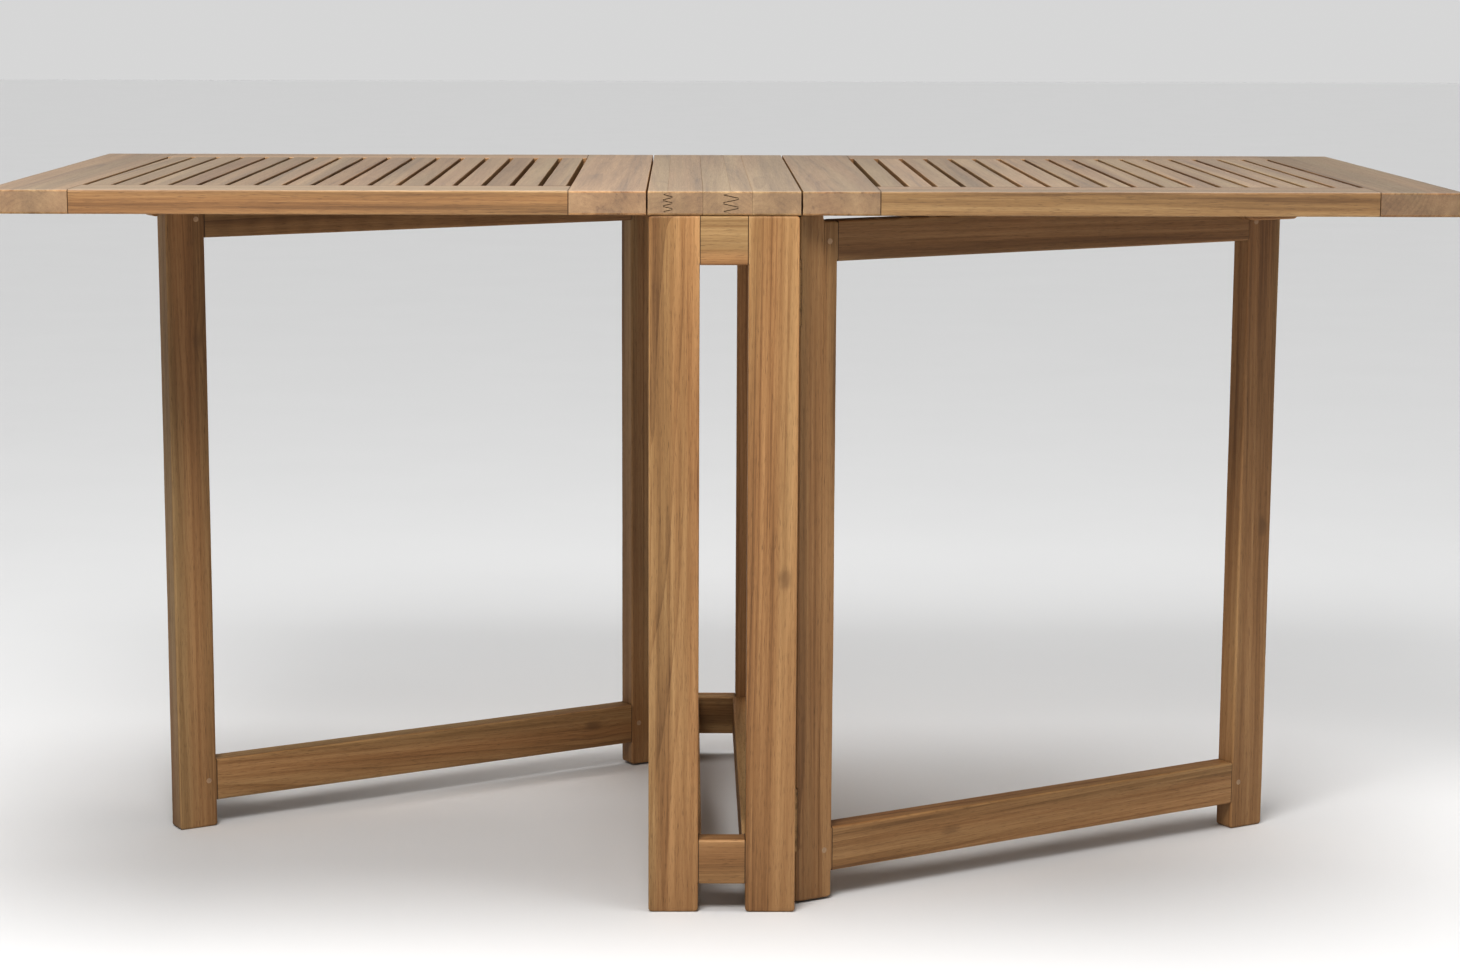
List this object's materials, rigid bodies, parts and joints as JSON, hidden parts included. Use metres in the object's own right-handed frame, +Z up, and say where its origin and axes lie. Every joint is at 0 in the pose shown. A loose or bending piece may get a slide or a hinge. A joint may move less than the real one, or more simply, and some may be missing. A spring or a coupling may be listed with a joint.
{
  "type": "gateleg table",
  "caption": "Rectangular wooden gateleg dining table with two slatted drop leaves hinged to a narrow centre board and held up by swinging gates.",
  "frame": {"origin": "on the floor under the middle of the open table", "axes": "+X along the table's length to the right leaf, +Y to the back, +Z up"},
  "size_m": [1.49, 0.7, 0.75],
  "materials": {
    "teak_top": "oiled teak, slightly weathered, matt",
    "teak_frame": "oiled teak, warm brown, matt",
    "teak_pegs": "end grain, matt",
    "brass_hinges": "aged, satin",
    "stainless_screws": "satin"
  },
  "bodies": {
    "centre_frame": {"back_bottom_rail": "teak_frame", "back_left_post": "teak_frame", "back_right_post": "teak_frame", "back_top_rail": "teak_frame", "centre_board_screws": "stainless_screws", "centre_board_stave_1": "teak_top", "centre_board_stave_2": "teak_top", "centre_board_stave_3": "teak_top", "centre_board_stave_4": "teak_top", "centre_board_stave_5": "teak_top", "frame_hinge_screws": "stainless_screws", "front_bottom_rail": "teak_frame", "front_left_post": "teak_frame", "front_right_post": "teak_frame", "front_top_rail": "teak_frame", "gate_hinge_fixed_plates": "brass_hinges", "gate_hinge_pins": "brass_hinges", "leaf_hinge_fixed_plates": "brass_hinges", "leaf_hinge_pins": "brass_hinges", "left_lower_side_rail": "teak_frame", "left_upper_side_rail": "teak_frame", "right_lower_side_rail": "teak_frame", "right_upper_side_rail": "teak_frame"},
    "right_leaf": {"right_leaf_back_rail": "teak_top", "right_leaf_block_screws": "stainless_screws", "right_leaf_front_rail": "teak_top", "right_leaf_hinge_plates": "brass_hinges", "right_leaf_hinge_screws": "stainless_screws", "right_leaf_inner_stile": "teak_top", "right_leaf_outer_stile": "teak_top", "right_leaf_slats": "teak_top", "right_leaf_stop_block": "teak_frame"},
    "left_leaf": {"left_leaf_back_rail": "teak_top", "left_leaf_block_screws": "stainless_screws", "left_leaf_front_rail": "teak_top", "left_leaf_hinge_plates": "brass_hinges", "left_leaf_hinge_screws": "stainless_screws", "left_leaf_inner_stile": "teak_top", "left_leaf_outer_stile": "teak_top", "left_leaf_slats": "teak_top", "left_leaf_stop_block": "teak_frame"},
    "right_gate": {"right_gate_bottom_rail": "teak_frame", "right_gate_hinge_plates": "brass_hinges", "right_gate_hinge_screws": "stainless_screws", "right_gate_hinge_stile": "teak_frame", "right_gate_leg": "teak_frame", "right_gate_pegs": "teak_pegs", "right_gate_top_rail": "teak_frame"},
    "left_gate": {"left_gate_bottom_rail": "teak_frame", "left_gate_hinge_plates": "brass_hinges", "left_gate_hinge_screws": "stainless_screws", "left_gate_hinge_stile": "teak_frame", "left_gate_leg": "teak_frame", "left_gate_pegs": "teak_pegs", "left_gate_top_rail": "teak_frame"}
  },
  "joints": [
    {"name": "right_gate_swing", "type": "hinge", "parent": "centre_frame", "child": "right_gate", "pos_m": [0.0765, -0.3225, 0.3685], "axis": [0, 0, 1], "range_deg": [0, 59]},
    {"name": "left_gate_swing", "type": "hinge", "parent": "centre_frame", "child": "left_gate", "pos_m": [-0.0765, 0.3225, 0.3685], "axis": [0, 0, 1], "range_deg": [0, 59]},
    {"name": "right_leaf_lift", "type": "hinge", "parent": "centre_frame", "child": "right_leaf", "pos_m": [0.078, 0, 0.7217], "axis": [0, -1, 0], "range_deg": [0, 2.5]},
    {"name": "left_leaf_lift", "type": "hinge", "parent": "centre_frame", "child": "left_leaf", "pos_m": [-0.078, 0, 0.7217], "axis": [0, 1, 0], "range_deg": [0, 2.5]}
  ]
}
